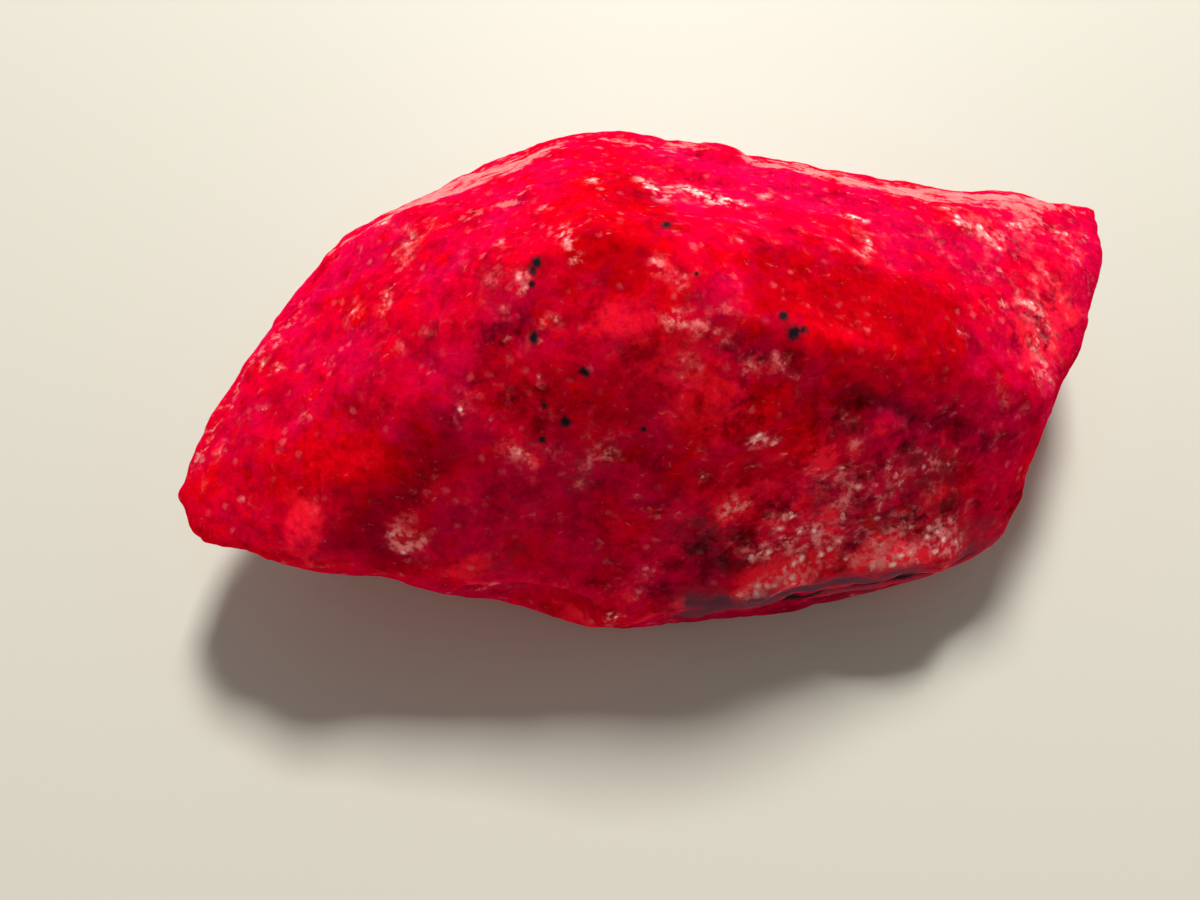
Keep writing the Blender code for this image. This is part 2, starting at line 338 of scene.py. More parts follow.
# The finish: marks where it changes, each (points of a line laid on the stone, width, strength), then
# the patterns, spans and colours that it is mixed from.
finish = {
    "marks": (
        "clear", "rose", "dim", "crimsonAndShade", "rough", "bruisedAndGlints", "crushedAndGlints", "frostAndSheen", "bright", "stained",
        "shadedWall", "shadedCracks",
    ),
    "wander": [(0.7, 5.0, 41), (0.35, 2.0, 42)],  # how far their borders wander, wavelength, seed
    "asDrawn": ("crushedAndGlints", "shadedCracks"),  # the kinds whose borders don't
    "borders": {"dim": 8, "bright": 4},  # how crisp a border is, 2 for the others
    "clear": [  # smooth and glowing orange-red
        ([(-6, 8, 30.5), (-4.5, 0, 33.5), (-3, -2, 33)], 4.0, 1.0),
        ([(9, -1.5, 31), (16, -2, 28.5), (21, -2.5, 26.5)], 4.4, 1.0),
        ([(-31, -13, 18.5), (-24, -11, 22)], 3.2, 0.9), ([(-23, -1, 26), (-30, 2, 21)], 2.5, 0.5),
        ([(3, -11, 26.5), (9, -10.5, 25.5)], 3.2, 0.7), ([(-39.5, -12, 16), (-42, -14, 14)], 2.5, 0.6),
    ],
    "rose": [  # magenta
        ([(0, 22, 12), (22, 21, 10)], 6.0, 0.8), ([(-35, 6, 8), (-30, 13, 8)], 4.0, 0.8),
        ([(1.5, 15.5, 25.5), (8, 14.5, 25), (14, 10, 26)], 4.0, 1.0),
        ([(-22, 12, 24), (-30, 8, 19), (-34, 1, 19)], 3.0, 0.5),
        ([(28, 7, 22.5), (36, 6.5, 19.8), (42, 12, 17)], 4.5, 1.0),
        ([(-28, -18.5, 16), (-20, -18, 16.5)], 3.0, 0.9),
        ([(-15, -3, 29.5), (-17, -7, 27.5), (-20, -4, 27.5)], 3.0, 0.3),
        ([(-13, -14, 22), (-5, -18, 15), (5, -18, 12)], 5.0, 0.6),
        ([(18, -11, 20), (28, -10, 18)], 4.0, 0.8), ([(5, -21, 3), (28, -17, 5), (34, -10, 8)], 3.0, 1.0),
        ([(24, -9, 21), (31, -9, 17), (33, -12, 11)], 3.2, 0.9), ([(-11.5, -15.8, 20.5)], 0.7, 1.6),
        ([(-8.9, -16.6, 18)], 0.7, 1.6),
    ],
    "dim": [  # painted shade: a step darker, with a clear border, where the light falls off
        ([(-19.2, -11.5, 24.6), (-22.8, -14.2, 21.8), (-25.5, -15.8, 20)], 2.7, 0.5),
        ([(-26.2, -16.4, 19), (-26.2, -18.4, 16.5), (-23.7, -19.2, 14.9)], 2.3, 0.5),
        ([(-12, -3.5, 31), (-15, -6, 28.5)], 1.8, 0.1),
        (
            [(2, -21, 3), (10, -20, 2.5), (17.5, -19.3, 3), (25, -17.5, 4), (32, -14, 5), (35, -9, 6)],
            3.0, 0.6,
        ),
        ([(9, 0, 31), (14, 0, 29.2), (20, -1.5, 27)], 4.0, 0.5),
        ([(21, -3.5, 26), (25, -2.5, 25)], 2.5, 0.4), ([(31.5, -13, 10), (34, -9, 11)], 3.5, 0.15),
        ([(-3.5, 9, 30), (-3, 3, 33), (-5, 0, 34)], 4.0, 0.45),
    ],
    "crimsonAndShade": [  # dark crimson, mostly painted shade: in the creases and the fissure, on the front slope that faces away from the light, and low on the rear wall
        ([(-8, 22.5, 8), (6, 22.5, 5)], 3.0, 0.6), ([(30, 19, 6), (38, 17, 5)], 2.6, 0.6),
        ([(-27, 17, 6)], 2.4, 0.5),
        ([(-13, -11, 24.5), (-8, -14, 21.5), (2, -15, 20), (0, -13, 24)], 4.5, 0.2),
        ([(-9, -17, 17), (-5, -19, 13)], 3.5, 0.25),
        ([(14, -8.2, 26.2), (17.1, -8.3, 24.8), (21.5, -8.6, 22.3), (25.5, -8.6, 20)], 1.2, 1.0),
        ([(21.3, -11.5, 18.8), (23.5, -12, 17)], 2.0, 0.8), ([(16, -11.5, 19.8)], 1.6, 0.6),
        ([(2.3, -16.8, 15.8), (5.3, -18.3, 12.3), (1, -20, 9.5)], 2.4, 0.9),
        ([(-14.3, -1.6, 30.7), (-10, -0.8, 32.8)], 1.0, 0.3),
        ([(-18.1, -1.7, 28.8), (-19.7, -4.1, 27.8), (-21.4, -6.1, 26.4)], 0.45, 0.8),
        ([(7, -6.5, 30.6), (10.5, -7, 29.6)], 1.2, 0.6),
    ],
    "rough": [  # coarsely mottled: stronger random dark and light patches, a painted shade and light for a rough surface
        ([(-27, 17, 8), (0, 22.5, 8), (32, 19.5, 8)], 6.0, 0.8), ([(43, 14, 10), (41, 4, 10)], 4.0, 0.7),
        ([(3, -17, 15), (12, -15.5, 15.5), (24, -14, 14)], 4.5, 1.0),
        ([(13, -11, 22), (22, -10.5, 20)], 4.0, 0.9), ([(-1, -20.5, 10), (-9, -19.5, 11)], 3.0, 0.5),
        ([(5, -9, 29), (8, -12, 25)], 3.0, 0.5), ([(33.5, 1, 20.5), (36, 5, 19)], 3.5, 0.6),
        ([(-14, -4, 29.5), (-13, -9, 27)], 3.0, 0.4), ([(28, -8, 19.5), (31, -9, 16)], 2.5, 0.5),
        ([(31, -13, 10), (34, -9, 12)], 3.0, 0.7), ([(30, 10.5, 22), (38, 12, 18.5)], 3.0, 0.5),
    ],
    "bruisedAndGlints": [  # crushed into pale grains, partly painted glints
        ([(-31, 15, 10), (-22, 20, 13)], 2.6, 0.9), ([(-9, 22, 14), (1, 22.5, 12)], 3.0, 0.9),
        ([(20, 20.5, 15), (31, 19, 12)], 3.0, 0.9), ([(41, 18, 11)], 2.4, 0.8),
        ([(-14, 22, 6), (-6, 22.5, 4)], 2.2, 0.8), ([(12, 22.5, 5), (18, 22, 8)], 2.0, 0.9),
        ([(43, 12, 12), (42, 7, 8)], 2.4, 0.9), ([(-38, -6, 8), (-34, 5, 9)], 2.4, 0.8),
        ([(38, -4, 8), (36, -8, 5)], 2.0, 0.8), ([(-30, -8, 3), (-24, -14, 3)], 2.4, 0.7),
        ([(11, -16.5, 12.5), (18, -16, 12.5), (25, -15.5, 11.5)], 3.6, 1.1),
        ([(14, -13, 18), (22, -12.5, 17)], 3.0, 0.85), ([(28, 6, 22), (37, 9, 19)], 4.0, 0.4),
        ([(9, -19.5, 9.3), (22, -16.9, 11.5)], 1.7, 1.5), ([(8, -18.5, 13)], 2.0, 0.8),
        ([(-14.3, -1.6, 30.7), (-12.2, -2.8, 31.2)], 1.4, 0.5), ([(-15.9, -4.1, 29.3)], 0.7, 0.9),
        ([(-14.9, -8.4, 27.1), (-13.9, -8.8, 27)], 1.1, 0.9), ([(-17, -10.2, 25.8)], 1.0, 0.7),
        ([(-9.4, -5.1, 31), (-8.4, -6.4, 30.8)], 0.8, 0.9),
        ([(-12.4, -13.6, 23.6), (-10.3, -13.4, 24)], 1.0, 0.8),
        ([(-8, -14.5, 21.5), (-5.9, -13.8, 22.4)], 1.4, 0.7),
        ([(-1.6, -1.8, 33.7), (1, -4.4, 32.9), (3, -5, 32)], 0.9, 0.9),
        (
            [(-0.2, -5.8, 32.3), (1.8, -7.2, 31), (4.5, -8.6, 29.5), (7.4, -8.2, 29.2), (9.4, -8.5, 28.5)],
            1.1, 1.0,
        ),
        ([(6.4, -12.3, 24.5), (8.1, -12, 24)], 0.9, 1.2), ([(2.7, -15, 20.1)], 0.9, 1.3),
        ([(4.6, -15.6, 18), (6.5, -15, 18.3)], 1.1, 1.4),
        ([(14.8, -9.4, 24.5), (15.7, -9.6, 23.9)], 0.9, 1.0),
        ([(13.7, -10.7, 23.3), (16.6, -11.1, 21.6)], 0.9, 1.0),
        ([(19.8, -9.6, 21.9), (17.5, -10, 22)], 1.1, 0.8), ([(19.3, -11.4, 19.8)], 1.1, 0.9),
        ([(14.3, -13.2, 18.3), (15.8, -13.1, 18.4)], 0.9, 1.0), ([(13.2, -14.1, 16.9)], 0.8, 1.0),
        ([(19.3, -14.5, 14.9), (21.2, -14.8, 14.3)], 1.4, 1.0),
        ([(15, -15.5, 14), (23, -14.5, 13)], 2.6, 0.7),
        ([(26.3, -16.2, 10.4), (27.5, -16.3, 9.3)], 0.9, 0.8), ([(19.8, -17.7, 9.8)], 1.1, 1.3),
        ([(27.1, -6.4, 21.9), (28.6, -6.2, 20.8)], 1.3, 0.8),
        ([(30.5, -7.8, 18.3), (31.4, -8.3, 17)], 1.3, 0.8),
        ([(9.8, -19.4, 8.5), (16.9, -17.3, 10.6), (24.4, -16.7, 10.4)], 2.0, 0.5),
        ([(-4.1, -20, 11.8), (-1.9, -19.4, 12.1), (-2.3, -20.6, 10)], 1.3, 0.7),
        ([(-4.8, -22.2, 7.4)], 1.4, 0.9), ([(-23.1, -17.4, 17.8), (-21.8, -17.1, 18.0)], 1.3, 2.0),
        ([(-16.5, -19.7, 8.6)], 0.9, 1.5), ([(-25, 0.7, 25), (-24.4, 0, 25.4)], 1.1, 1.1),
        ([(-27.8, 1.5, 22.7), (-26.9, -0.2, 23.5)], 0.8, 0.9),
        ([(-36.6, -1.7, 18.4), (-33.5, -2.5, 19.8), (-31.3, -3.2, 21.1)], 0.8, 0.8),
        ([(-22.8, -4.8, 26.1)], 1.1, 0.5), ([(-40.4, -9.3, 16.2)], 1.1, 0.7),
        ([(-25.2, 10.9, 23), (-22.5, 7.1, 25.3), (-23.1, 6, 25)], 1.2, 0.9),
        ([(10.9, 5.1, 29), (13.6, 5.3, 28.1), (14.8, 4.4, 28), (18.4, 5.6, 26.3)], 0.8, 1.0),
        ([(23.6, 7.7, 24.3), (24.9, 6.8, 24)], 0.8, 0.8),
        ([(28.3, 11.1, 22.5), (30.6, 9.6, 21.7)], 1.8, 1.3),
        ([(35.1, 12.7, 20), (38.6, 12.6, 18.5)], 1.6, 0.8),
        ([(33.4, 2.5, 20.9), (33.4, -2.1, 19.8)], 2.8, 0.9),
        ([(-3.5, 11.5, 28.5), (-0.4, 8.5, 29.3), (1.9, 10.1, 28.1)], 1.1, 0.7),
    ],
    "crushedAndGlints": [  # almost white: crushed grains and painted glints
        ([(-17, 21.5, 14)], 0.8, 0.9), ([(9, 22, 9)], 0.6, 0.9), ([(26, 20, 14)], 0.7, 0.9),
        ([(-26, 18, 11)], 0.6, 0.9), ([(-2, 10.9, 28.5), (-0.4, 8.5, 29.3)], 0.7, 0.7),
        ([(1.9, 10.1, 28.1), (4.4, 8.8, 28.4), (6, 8.8, 27.9)], 0.75, 1.2), ([(8.7, 10.8, 26.6)], 0.6, 0.5),
        ([(16, 8.9, 26.1), (17.2, 8.6, 26)], 0.5, 1.2), ([(-8.9, 2.5, 32.8), (-8.4, 0.4, 33.5)], 0.45, 1.0),
        ([(-8, -0.8, 33.4)], 0.45, 1.0), ([(-6.8, 10.1, 29.7)], 0.5, 0.9), ([(-10.9, 6.7, 30.3)], 0.4, 0.7),
        ([(-14.1, 3.1, 30.4)], 0.35, 0.7), ([(-12, -2.5, 31.5)], 0.35, 1.0),
        ([(-1.6, -1.8, 33.7)], 0.45, 0.9), ([(-0.4, -5.2, 32.5)], 0.5, 0.9),
        ([(-35.3, 0.3, 18.7)], 0.4, 0.8), ([(-36.6, -1.7, 18.4)], 0.5, 0.8), ([(-23.1, 7.1, 25)], 0.5, 0.9),
        ([(-4.8, -22.2, 7.4)], 0.5, 1.1), ([(4.8, -15.9, 17.1)], 0.7, 0.9),
        ([(6.4, -12.3, 24.5)], 0.5, 0.9), ([(26.3, 12.4, 23)], 0.6, 0.7), ([(31.5, 10.5, 21.3)], 0.7, 0.8),
        ([(38.6, 12.6, 18.5)], 0.5, 0.9), ([(-5.3, -13.2, 23.4)], 0.35, 0.8),
        ([(33.4, -2.1, 19.8)], 0.8, 0.6), ([(29.5, 2.5, 22.3)], 0.5, 0.8),
    ],
    "frostAndSheen": [  # a soft pale bloom: partly frost, partly painted sheen of the light from behind on the rear rims
        ([(-43, -12, 14.5), (-42, -7.9, 15.2), (-38.5, -2, 17.1), (-33.8, 4.3, 18.7)], 1.0, 0.7),
        ([(-32, 12.5, 17.5), (-28, 12.5, 20)], 1.3, 0.9),
        ([(-26, 13, 21), (-22.5, 14.2, 23), (-18, 15.5, 23)], 1.9, 1.2),
        ([(-24, 17, 18.5), (-19, 18, 20.5), (-14, 18, 23)], 3.2, 1.2),
        ([(-13.5, 17, 24.5), (-10.5, 18.5, 24.5)], 1.6, 1.1),
        ([(-20.4, 8.5, 25.7), (-16.4, 8.2, 27.1), (-12.8, 8.9, 28.4)], 0.8, 0.7),
        ([(-10, 20, 24), (-3, 19, 24), (3, 20, 22.5)], 1.3, 0.8),
        ([(9, 18, 23), (14, 17.5, 22.5), (18, 17, 22)], 1.9, 1.0),
        ([(18, 16.5, 22), (24, 16.5, 21), (29, 16, 20.5), (34, 16, 19.8), (38, 17, 18)], 2.4, 1.2),
        ([(38, 17, 18), (43, 17.5, 16.3)], 1.5, 0.8),
    ],
    "bright": [  # painted light: coral on seams and facets, as if they took the light
        ([(-20, 21, 12), (-12, 22.5, 9)], 2.0, 0.8), ([(14, 21.5, 14), (20, 21, 11)], 2.0, 0.8),
        ([(44, 15, 12)], 2.0, 0.7),
        (
            [
                (8.5, -19.6, 9.4), (12.6, -18.5, 9.9), (16, -17.5, 10.6), (19.5, -17.1, 11.2),
                (22, -16.9, 11.5),
            ],
            1.7, 1.0,
        ),
        ([(-4.4, -6.5, 31.9), (0.3, -8.7, 29.6), (4, -11.5, 26.5)], 3.0, 0.5),
        ([(32, 0, 20.5), (36, 4, 19)], 3.2, 0.8), ([(5, -14.5, 20), (9, -14.5, 18)], 3.0, 0.4),
        ([(12, -12, 21)], 2.0, 0.5), ([(-16.4, -20.1, 10.8)], 1.6, 1.1),
        ([(-17.8, -19.3, 14.4)], 2.5, 0.75), ([(-30.6, -15.5, 18.7), (-30.4, -18.6, 15.8)], 2.0, 0.65),
        ([(-9.7, -20.6, 5.4), (-6.8, -22, 5.2), (-4, -22.4, 6.7), (1.5, -21.5, 6.6)], 0.9, 0.8),
        ([(5.5, -14.4, 19.6)], 0.6, 1.0), ([(-5.5, -12.8, 24.4)], 0.6, 0.8),
        ([(-11.4, -13.5, 23.8)], 0.8, 0.7), ([(14, -15, 15.5)], 1.2, 0.7), ([(12, -13, 19)], 1.2, 0.5),
    ],
    "stained": [  # brown-red in the hollows
        ([(2.3, -16.8, 15.8), (5.3, -18.3, 12.3)], 2.4, 0.9),
        ([(21.3, -11.5, 18.8), (25, -13, 14.5)], 2.0, 0.7), ([(17, -15, 14), (24, -15, 12)], 2.4, 0.5),
        ([(15, -10, 23.5)], 2.0, 0.5), ([(13, -14, 16.5)], 1.6, 0.5), ([(-14.3, -1.6, 30.7)], 1.4, 0.35),
        ([(-13, -16.5, 19), (-15, -18, 14)], 1.6, 0.4),
        ([(-8, -14.5, 21.5), (-5.9, -13.8, 22.4)], 1.4, 0.5),
    ],
    "shadedWall": [  # painted shade, grey-mauve, on the steep front wall that faces away from the light
        (
            [(2, -21.3, 6.8), (9, -20.3, 7), (13.5, -19.3, 7.2), (17, -18.7, 7.8), (20, -18.3, 8.5)],
            1.3, 1.8,
        ),
        ([(16, -19, 4), (22, -18, 4.5), (29, -16, 5)], 1.6, 1.2),
        ([(20, -18.3, 8.5), (24, -17.7, 8.6), (29, -16.4, 7.9), (31.5, -15, 7.7)], 1.2, 1.6),
        ([(30, -15, 9), (33, -12, 8)], 2.0, 0.35), ([(27, -16, 10.5), (31, -14.5, 11)], 1.6, 0.5),
    ],
    # painted shade: black along the cracks, the fissure and the groove under the lobe
    "shadedCracks": [
        (
            [(12, -19.9, 5.2), (14.3, -19.4, 5.5), (17.7, -19, 6), (20.3, -18.7, 7), (24, -18.1, 7.5)],
            0.5, 1.0,
        ),
        ([(24, -18.1, 7.5), (28, -17, 7.4)], 0.35, 0.9),
        ([(-18.1, -1.7, 28.8), (-19.7, -4.1, 27.8), (-21.4, -6.1, 26.4)], 0.3, 0.3),
        ([(15, -8.4, 25.6), (17.1, -8.4, 24.6), (21, -8.8, 22.2)], 0.6, 0.4),
    ],
    "specks": [  # black mineral grains, each (centre, radius)
        ((-11.1, -0.7, 32.6), 0.42), ((-11.1, -1.2, 32.4), 0.42), ((-11.2, -5.9, 29.9), 0.45),
        ((-7.1, -8.8, 29.4), 0.4), ((-8.7, -11.4, 26.1), 0.42), ((-10.4, -10.3, 26.8), 0.33),
        ((-10.7, -12.5, 24.7), 0.28), ((-2.5, -12.1, 26), 0.25), ((-0.5, 2.8, 33), 0.48),
        ((8.3, -5, 31.2), 0.42), ((9, -6, 30.9), 0.6), ((9.8, -5.7, 30.7), 0.4), ((-11.3, -2.4, 32), 0.24),
        ((1.5, -2.2, 33.2), 0.22), ((-41, -15.6, 13.4), 0.26), ((-2, 22, 14), 0.5), ((21, 21, 12), 0.45),
        ((-22, 17, 12), 0.4), ((23.5, 20.5, 9), 0.3),
    ],
    "rearSheen": (0.75, 0.98, 0.5),  # painted sheen: faces turned this far to the rear, toward the key light, are frosted pale, from none to most
    # noise over the stone: what it is read on, then size in mm, octaves and roughness
    "patterns": {
        "clouds": ("bent", 6.0, 3.0, 0.55),
        "patches": ("bent", 2.6, 4.0, 0.6),
        "mottle": ("bent", 3.2, 6.0, 0.7),
        "speckle": ("bent", 1.4, 5.0, 0.75),
        "heaps": ("bent", 2.2, 4.0, 0.62),
        "blotch": ("bent", 1.5, 4.0, 0.6),
        "streaks": ("drawn", 0.8, 3.0, 0.6),
        "fine": ("place", 0.75, 3.0, 0.6),
        "crumb": ("place", 0.8, 2.0, 0.6),
        "sparkle": ("place", 0.5, 1.0, 0.5),
    },
    "sway": (0.9, 2.0, 1.2),  # bends most patterns: waves per mm, octaves, push in mm
    "jitter": (2.0, 1.0, 0.5),  # the same for the grains
    "drawn": (0.4, 1.0, 1.0),  # how much the streaks are shortened along each axis
    "grainSize": 0.8,
    # how far each step of the finish goes: from a low value to a high one, then its least and its most
    "spans": {
        "magenta": (0.4, 0.66),
        "fire": (0.52, 0.7),
        "crimsonAndShade": (0.35, 0.62, 0.7, 0.35),
        "mottle": (-0.34, 0.06, 0.25, 1.0),
        "speckle": (0.3, 0.66, 0.74, 1.18),
        "coral": (0.08, 0.5),
        "clumps": (0.55, 0.95),
        "salmon": (0.4, 0.63, 0.1, 0.95),
        "grainEdge": (0.62, 0.12),
        "grainChance": (0.9, 1.2),
        "pale": (0.1, 0.6),
        "crumbs": (0.46, 0.66),
        "whitened": (0.3, 1.0),
        "cream": (0.95, 1.25),
        "frostSheen": (1.06, 1.36),
        "stain": (0.38, 0.6, 0.0, 0.8),
        "wallShade": (0.3, 0.6, 0.4, 0.9),
        "specks": (3.2, 1.9),
        "shadedCracks": (0.1, 0.9),
        "glint": (0.68, 0.8, 0.0, 0.6),
        "dull": (0.35, 0.65, 0.42, 0.6),
    },
    "ruby": (0.61, 0.0, 0.016, 1),
    "magenta": (0.59, 0.0006, 0.038, 1),
    "fire": (0.66, 0.0003, 0.006, 1),
    "coral": (1.0, 0.012, 0.035, 1),
    "salmon": (0.85, 0.13, 0.14, 1),
    "blush": (0.95, 0.2, 0.24, 1),
    "pale": (1.0, 0.48, 0.43, 1),
    "cream": (1.0, 0.72, 0.6, 1),
    "frostSheen": (0.62, 0.14, 0.14, 1),
    "stain": (0.15, 0.015, 0.018, 1),
    "wallShade": (0.12, 0.035, 0.055, 1),
    "black": (0.012, 0.01, 0.014, 1),
    "glassRoughness": 0.22,
    "refraction": 1.77,
    "scatter": 0.75,  # the share of light that goes into the stone
    "scatterReach": 9.0,
    "scatterColour": (1.0, 0.03, 0.035),  # red goes deep, green and blue hardly
    "bump": (0.14, 0.8),  # depth, strength
}


# Every mark as a value on the points, its border pushed about by waves so that none is round.
def addMarks(piece, points, normals):
    drifted = points.copy()
    for drift, length, seed in finish["wander"]:
        drifted += drift * waves(points, length, seed)
    first, last, most = finish["rearSheen"]
    for kind in finish["marks"]:
        places = points if kind in finish["asDrawn"] else drifted
        values = markStrength(places, finish[kind], points, finish["borders"].get(kind, 2))
        # painted sheen: faces that turn to the rear, toward the key light, get the pale frost as well
        if kind == "frostAndSheen":
            values = np.maximum(values, most * smoothStep(normals[:, 1], first, last))
        layer = piece.data.attributes.new(kind, "FLOAT", "POINT")
        layer.data.foreach_set("value", values.astype(np.float32))


# One shader node: an input given as a socket is linked, and one given as a value is set.
def addNode(tree, kind, inputs=(), **settings):
    made = tree.nodes.new("ShaderNode" + kind)
    for key, value in settings.items():
        setattr(made, key, value)
    for key, value in dict(inputs).items():
        if isinstance(value, bpy.types.NodeSocket):
            tree.links.new(value, made.inputs[key])
        else:
            made.inputs[key].default_value = value
    return made


# Noise from 0 to 1 around features of a size: octaves, each twice as fine and weaker by the roughness.
def noise(tree, place, size, octaves, roughness):
    inputs = {"Vector": place, "Scale": 1 / size, "Detail": octaves, "Roughness": roughness}
    return addNode(tree, "TexNoise", inputs).outputs["Fac"]


# A place pushed about by noise: place + push * (three noises of so many waves per mm).
def stirred(tree, place, density, octaves, push):
    stir = addNode(tree, "TexNoise", {"Vector": place, "Scale": density, "Detail": octaves}).outputs["Color"]
    inputs = {0: stir, 1: (push, push, push), 2: place}
    return addNode(tree, "VectorMath", inputs, operation="MULTIPLY_ADD").outputs[0]


# With t = (value - low) / (high - low) kept within 0 and 1: least + (most - least) * (3 t^2 - 2 t^3).
def eased(tree, value, low, high, least=0.0, most=1.0):
    inputs = {"Value": value, "From Min": low, "From Max": high, "To Min": least, "To Max": most}
    return addNode(tree, "MapRange", inputs, interpolation_type="SMOOTHSTEP").outputs["Result"]


# Two values taken together by the named operation: their difference, quotient, lesser or product.
def combined(tree, operation, first, second, clamp=False):
    return addNode(tree, "Math", {0: first, 1: second}, operation=operation, use_clamp=clamp).outputs[0]


# first * second, kept within 0 and 1 where it is clamped.
def product(tree, first, second, clamp=False):
    return combined(tree, "MULTIPLY", first, second, clamp)


# The sum of value * weight over pairs, on top of a number.
def weighted(tree, base, *pairs):
    total = base
    for value, weight in pairs:
        total = addNode(tree, "Math", {0: value, 1: weight, 2: total}, operation="MULTIPLY_ADD").outputs[0]
    return total


# Two colours as one: (1 - share) * first + share * second, or share of first * second to multiply.
def mixed(tree, share, first, second, blend="MIX"):
    inputs = {0: share, 6: first, 7: second}
    return addNode(tree, "Mix", inputs, data_type="RGBA", blend_type=blend).outputs[2]


# How far a point is from the nearest of some dots, in radii: the least of distance / radius.
def nearestDot(tree, place, dots):
    least = 9.0
    for centre, radius in dots:
        away = addNode(tree, "VectorMath", {0: place, 1: centre}, operation="DISTANCE").outputs["Value"]
        least = combined(tree, "MINIMUM", combined(tree, "DIVIDE", away, radius), least)
    return least


# What the finish is mixed from, by name: places on the stone in mm, patterns read on them, and marks.
def stonePatterns(tree):
    place = addNode(tree, "TexCoord").outputs["Object"]
    place = addNode(tree, "VectorMath", {0: place, 3: 1 / mm}, operation="SCALE").outputs[0]
    bent = stirred(tree, place, *finish["sway"])
    drawn = addNode(tree, "VectorMath", {0: bent, 1: finish["drawn"]}, operation="MULTIPLY").outputs[0]
    found = {"place": place, "bent": bent, "drawn": drawn}
    for name, (way, *shape) in finish["patterns"].items():
        found[name] = noise(tree, found[way], *shape)
    for kind in finish["marks"]:
        found[kind] = addNode(tree, "Attribute", attribute_name=kind).outputs["Fac"]
    return found


# Hue: ruby, magenta where clouds + 0.16 rose are high, then orange-red where patches + 0.22 clear are.
def hue(tree, patterns):
    spans = finish["spans"]
    cool = weighted(tree, patterns["clouds"], (patterns["rose"], 0.16), (patterns["clear"], -0.16))
    body = mixed(tree, eased(tree, cool, *spans["magenta"]), finish["ruby"], finish["magenta"])
    warm = weighted(tree, patterns["patches"], (patterns["clear"], 0.22), (patterns["rose"], -0.1))
    return mixed(tree, eased(tree, warm, *spans["fire"]), body, finish["fire"])


# Tone: hue * (1 - crimson-and-shade mark - 0.6 painted shade mark) * mottle * speckle, the two marks being
# painted shade, then coral where tone + 0.45 painted light mark is high, so the coral is partly random tone
# and partly painted light.
def toned(tree, patterns, body):
    spans = finish["spans"]
    contrast = weighted(tree, 0.9, (patterns["rough"], 1.7), (patterns["clear"], -0.4))
    tone = product(tree, combined(tree, "SUBTRACT", patterns["mottle"], 0.5), contrast)
    tone = weighted(tree, tone, (combined(tree, "SUBTRACT", patterns["fine"], 0.5), 0.3))
    crimsonAndShade = product(tree, patterns["crimsonAndShade"], eased(tree, patterns["mottle"], *spans["crimsonAndShade"]))
    shade = weighted(tree, 1.0, (crimsonAndShade, -1.0), (patterns["dim"], -0.6))
    shade = product(tree, shade, eased(tree, tone, *spans["mottle"]))
    shade = product(tree, shade, eased(tree, patterns["speckle"], *spans["speckle"]))
    colour = mixed(tree, 1.0, body, shade, "MULTIPLY")
    lit = weighted(tree, tone, (patterns["bright"], 0.45))
    return mixed(tree, eased(tree, lit, *spans["coral"]), colour, finish["coral"])


# Pale grains like sugar, partly crushed grains and partly painted glints, and how much of a grain is at each
# point. A grain is a round dot in a cell of a net; it shows where the cell's chance number + 0.5 clumps +
# 0.6 crushed mark is high.
def sugarAndGlints(tree, patterns, colour):
    spans = finish["spans"]
    heaped = weighted(tree, patterns["heaps"], (patterns["bruisedAndGlints"], 0.27), (patterns["clear"], -0.04))
    clumps = eased(tree, heaped, *spans["clumps"])
    net = {"Vector": stirred(tree, patterns["place"], *finish["jitter"]), "Scale": 1 / finish["grainSize"]}
    cells = addNode(tree, "TexVoronoi", net)
    chance = addNode(tree, "SeparateColor", {0: cells.outputs["Color"]}).outputs[0]
    chance = weighted(tree, chance, (clumps, 0.5), (patterns["crushedAndGlints"], 0.6))
    dot = eased(tree, cells.outputs["Distance"], *spans["grainEdge"])
    grain = product(tree, dot, eased(tree, chance, *spans["grainChance"]))

    haze = product(tree, clumps, eased(tree, patterns["crumb"], *spans["salmon"]))
    colour = mixed(tree, haze, colour, finish["salmon"])
    sugar = mixed(tree, eased(tree, clumps, *spans["pale"]), finish["blush"], finish["pale"])
    colour = mixed(tree, grain, colour, sugar)
    heart = eased(tree, clumps, *spans["whitened"])
    whitened = weighted(tree, product(tree, patterns["crushedAndGlints"], 0.8), (heart, 0.3))
    crumbs = eased(tree, weighted(tree, patterns["crumb"], (clumps, 0.08)), *spans["crumbs"])
    colour = mixed(tree, product(tree, crumbs, whitened, True), colour, finish["pale"])
    creamy = weighted(tree, grain, (patterns["crumb"], 0.4))
    return mixed(tree, eased(tree, creamy, *spans["cream"]), colour, finish["cream"]), grain


